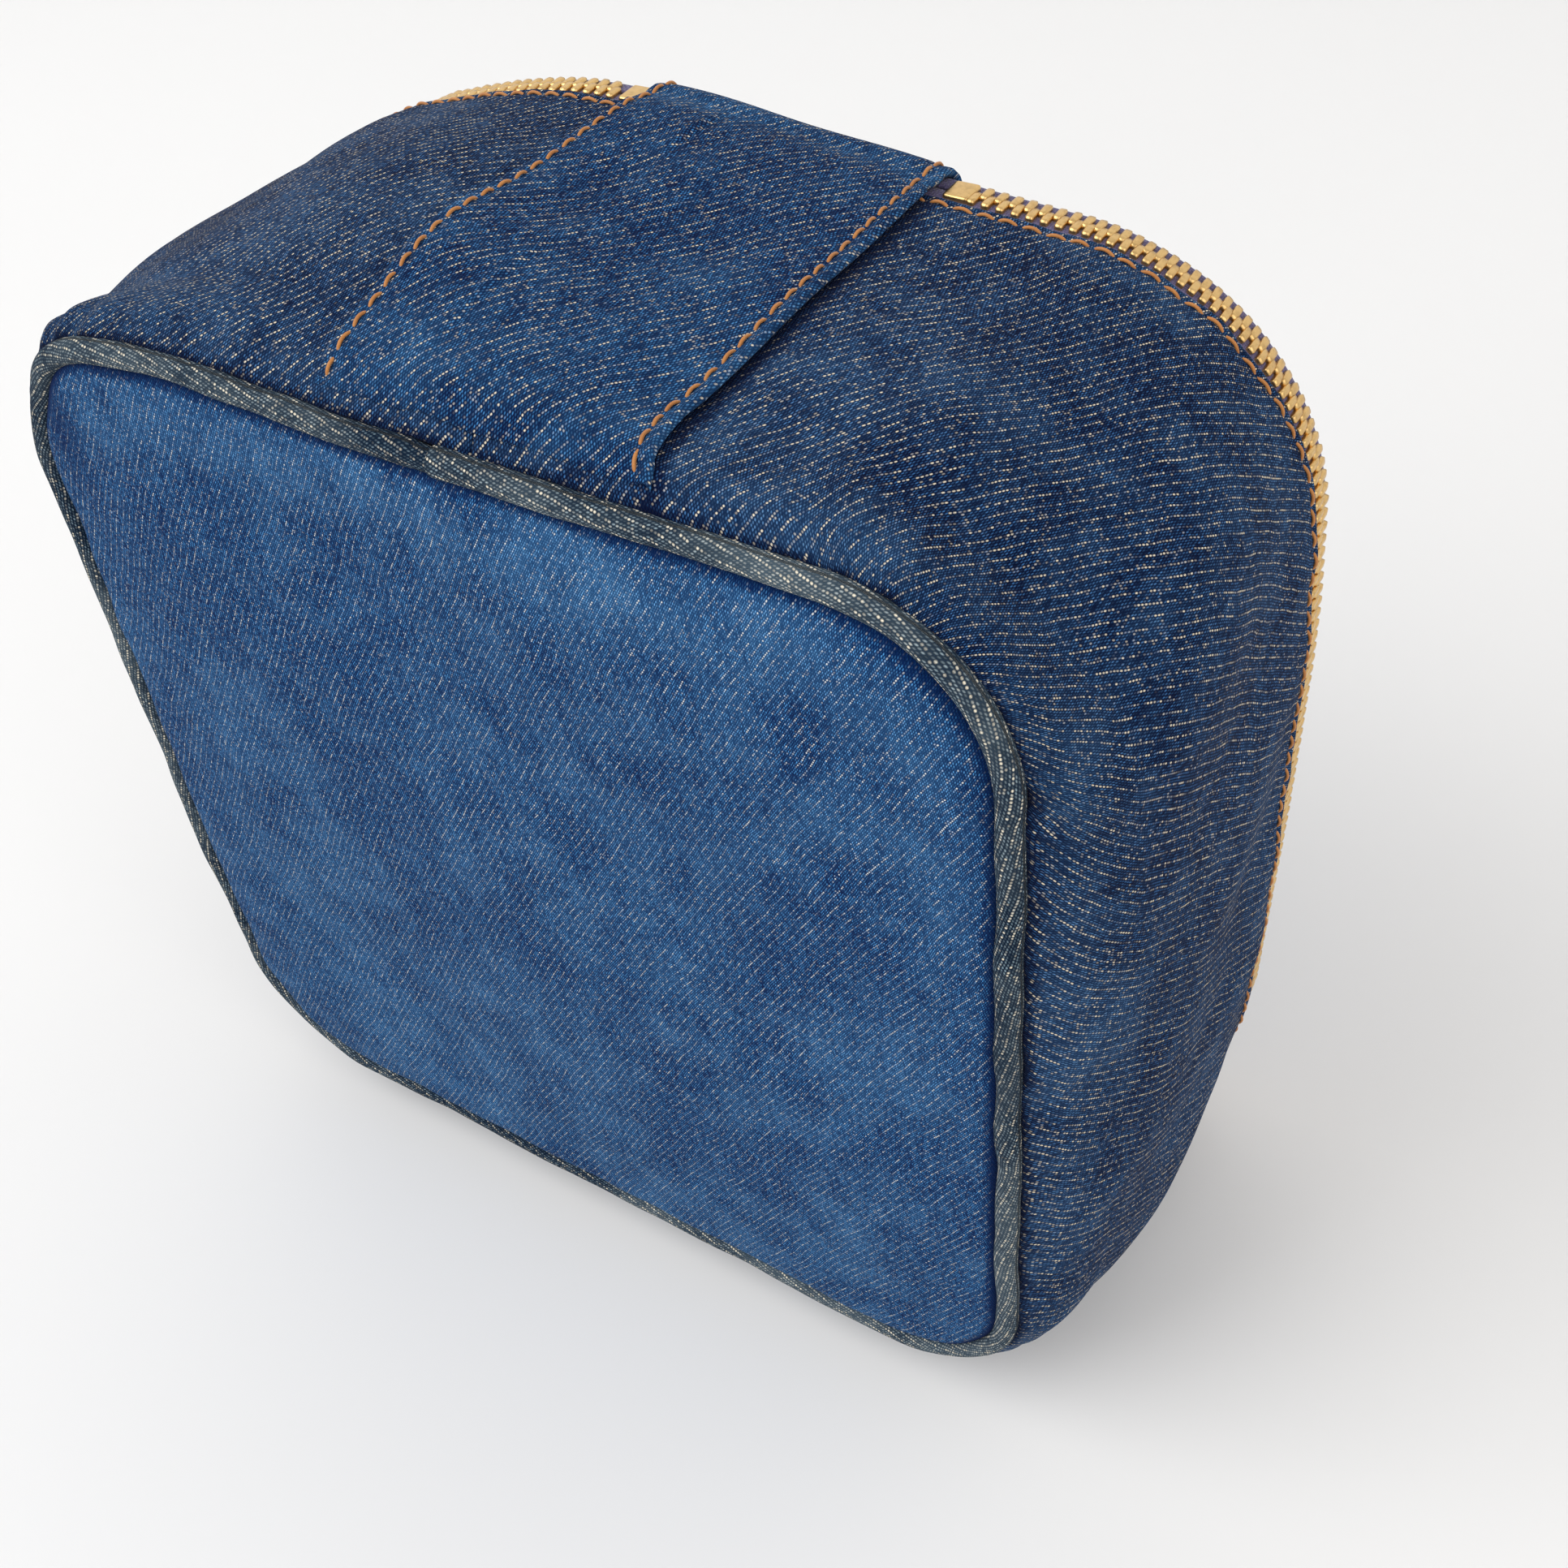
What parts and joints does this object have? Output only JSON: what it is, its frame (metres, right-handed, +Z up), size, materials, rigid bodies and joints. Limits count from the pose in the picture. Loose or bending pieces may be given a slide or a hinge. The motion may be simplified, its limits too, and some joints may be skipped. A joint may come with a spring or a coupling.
{
  "type": "brush case",
  "caption": "Boxy zip-round denim case for brushes, with a piped base, padded walls and a flat lid on a cloth hinge.",
  "frame": {"origin": "centre of the case's box, on the surface that it lies on", "axes": "+Z up, as the case lies on its front wall; -Y out of the piped base; +Y out of the lid; +X to the right, seen from the base"},
  "size_m": [0.1902, 0.0812, 0.1843],
  "materials": {
    "denim": "mid-weight indigo twill, faded along the seams",
    "piping_denim": "bias-cut faded denim",
    "cord": "cotton cord",
    "board": "stiff bag board",
    "lining": "plain cotton",
    "foam": "sewable foam",
    "binding": "cotton binding tape",
    "zip_tape": "woven zip tape",
    "brass": "polished brass",
    "elastic": "woven elastic"
  },
  "bodies": {
    "case": {"base_panel": "denim", "base_board": "board", "base_lining": "lining", "piping_cord": "cord", "piping_cover": "piping_denim", "left_wall": "denim", "right_wall": "denim", "wall_padding": "foam", "wall_lining": "lining", "base_binding": "binding", "rim_binding": "binding", "hinge_band": "denim", "hinge_facing": "lining", "zip_tape_body": "zip_tape", "zip_teeth_body": "brass", "zip_stop_left": "brass", "zip_stop_right": "brass"},
    "lid": {"lid_panel": "denim", "lid_board": "board", "lid_lining": "lining", "lid_binding": "binding", "zip_tape_lid": "zip_tape", "zip_teeth_lid": "brass", "hinge_flap": "denim", "brush_elastic": "elastic"},
    "slider_upper": {"slider_upper": "brass", "slider_upper_bridge": "brass"},
    "pull_upper": {"slider_upper_pull": "brass"},
    "slider_lower": {"slider_lower": "brass", "slider_lower_bridge": "brass"},
    "pull_lower": {"slider_lower_pull": "brass"}
  },
  "joints": [
    {"name": "lid_hinge", "type": "hinge", "parent": "case", "child": "lid", "pos_m": [0.00005, 0.03545, 0.1826], "axis": [1, 0, 0], "range_deg": [0, 180]},
    {"name": "slider_upper_slide", "type": "slide", "parent": "case", "child": "slider_upper", "axis": [0, 0, 1], "range_m": [0, 0.036]},
    {"name": "slider_lower_slide", "type": "slide", "parent": "case", "child": "slider_lower", "axis": [0, 0, -1], "range_m": [0, 0.036]},
    {"name": "pull_upper_swing", "type": "hinge", "parent": "slider_upper", "child": "pull_upper", "pos_m": [-0.09355, 0.03545, 0.0979], "axis": [0, 1, 0], "range_deg": [0, 150]},
    {"name": "pull_lower_swing", "type": "hinge", "parent": "slider_lower", "child": "pull_lower", "pos_m": [-0.09355, 0.03545, 0.0833], "axis": [0, 1, 0], "range_deg": [0, 150]}
  ]
}
